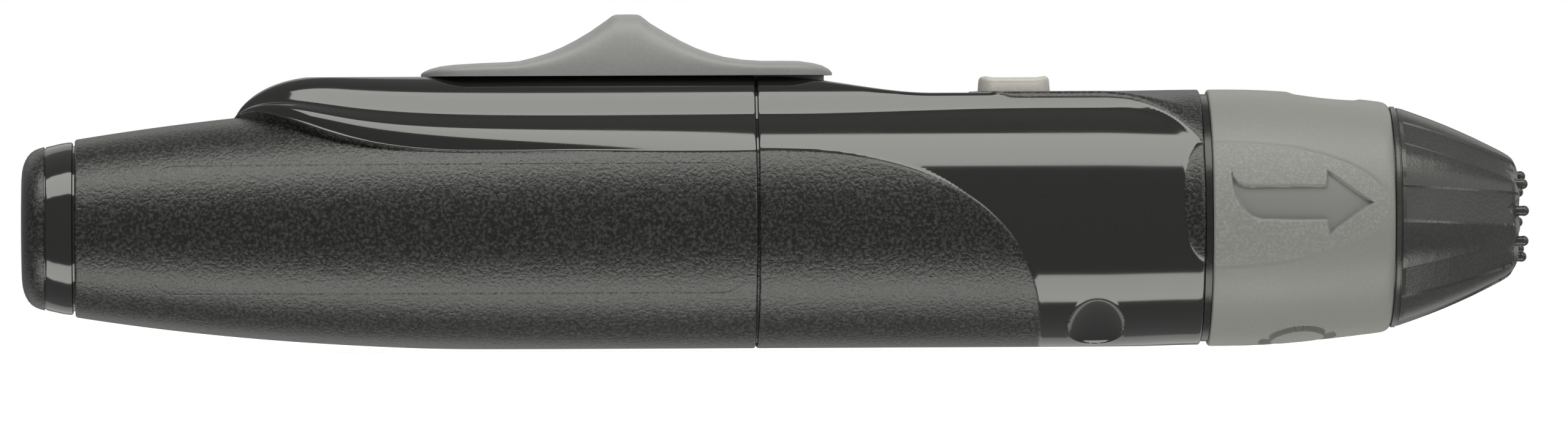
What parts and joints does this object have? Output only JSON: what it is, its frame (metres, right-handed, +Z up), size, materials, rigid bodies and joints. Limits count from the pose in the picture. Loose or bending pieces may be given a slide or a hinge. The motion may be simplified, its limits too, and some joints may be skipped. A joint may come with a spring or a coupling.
{
  "type": "lancing device",
  "caption": "Pen-shaped lancing device with a raised thumb rail, saddle slider, release button, grey twist collar and fluted depth nose with a beaded rim round its opening.",
  "frame": {"origin": "centre of the bounding box's bottom face, on the flat belly strip that the device lies on", "axes": "+X along the barrel towards the nose, +Z up through the slider, +Y to the side away from the camera"},
  "size_m": [0.115, 0.0201, 0.0255],
  "materials": {
    "housing_plastic": "gloss with textured grip panels",
    "slider_plastic": "satin",
    "button_plastic": "satin, slightly translucent",
    "collar_plastic": "satin",
    "nose_plastic": "satin",
    "sleeve_plastic": "matt",
    "inner_plastic": "natural acetal",
    "spring_steel": "drawn wire",
    "seal_rubber": "matt"
  },
  "bodies": {
    "housing": {"rear_barrel": "housing_plastic", "front_barrel": "housing_plastic", "end_cap": "housing_plastic", "carriage_guide": "inner_plastic", "buffer_ring": "seal_rubber", "latch_pin": "spring_steel", "neck_seal": "seal_rubber", "drive_spring": "spring_steel", "return_spring": "spring_steel", "latch_spring": "spring_steel"},
    "slider": {"thumb_slider": "slider_plastic", "slider_carrier": "inner_plastic", "ejector_rod": "inner_plastic"},
    "carriage": {"lancet_carriage": "inner_plastic", "lancet_holder": "inner_plastic"},
    "button": {"release_button": "button_plastic"},
    "latch": {"latch_lever": "inner_plastic"},
    "cap": {"cap_sleeve": "sleeve_plastic", "nose_clip": "spring_steel", "friction_washer": "inner_plastic"},
    "collar": {"twist_collar": "collar_plastic"},
    "nose": {"depth_nose": "nose_plastic", "depth_stop": "inner_plastic"}
  },
  "joints": [
    {"name": "slider_travel", "type": "slide", "parent": "housing", "child": "slider", "axis": [1, 0, 0], "range_m": [-0.0065, 0.0095]},
    {"name": "carriage_stroke", "type": "slide", "parent": "housing", "child": "carriage", "axis": [1, 0, 0], "range_m": [-0.0065, 0.0025], "stiffness_N_per_m": 250, "deforming": ["drive_spring", "return_spring"]},
    {"name": "release_press", "type": "slide", "parent": "housing", "child": "button", "axis": [0, 0, -1], "range_m": [0, 0.0006], "stiffness_N_per_m": 400},
    {"name": "latch_lift", "type": "hinge", "parent": "housing", "child": "latch", "pos_m": [0.01255, 0, 0.0168], "axis": [0, 1, 0], "range_deg": [0, 7.5], "deforming": ["latch_spring"]},
    {"name": "cap_pull", "type": "slide", "parent": "housing", "child": "cap", "axis": [1, 0, 0], "range_m": [0, 0.045]},
    {"name": "collar_twist", "type": "hinge", "parent": "cap", "child": "collar", "pos_m": [0.04, 0, 0.0098], "axis": [1, 0, 0], "range_deg": [0, 60]},
    {"name": "depth_turn", "type": "hinge", "parent": "cap", "child": "nose", "pos_m": [0.05, 0, 0.0098], "axis": [1, 0, 0], "range_deg": [-90, 90]}
  ],
  "couplings": [
    {"joint": "latch_lift", "follows": "release_press", "rad_per_m": 190}
  ]
}
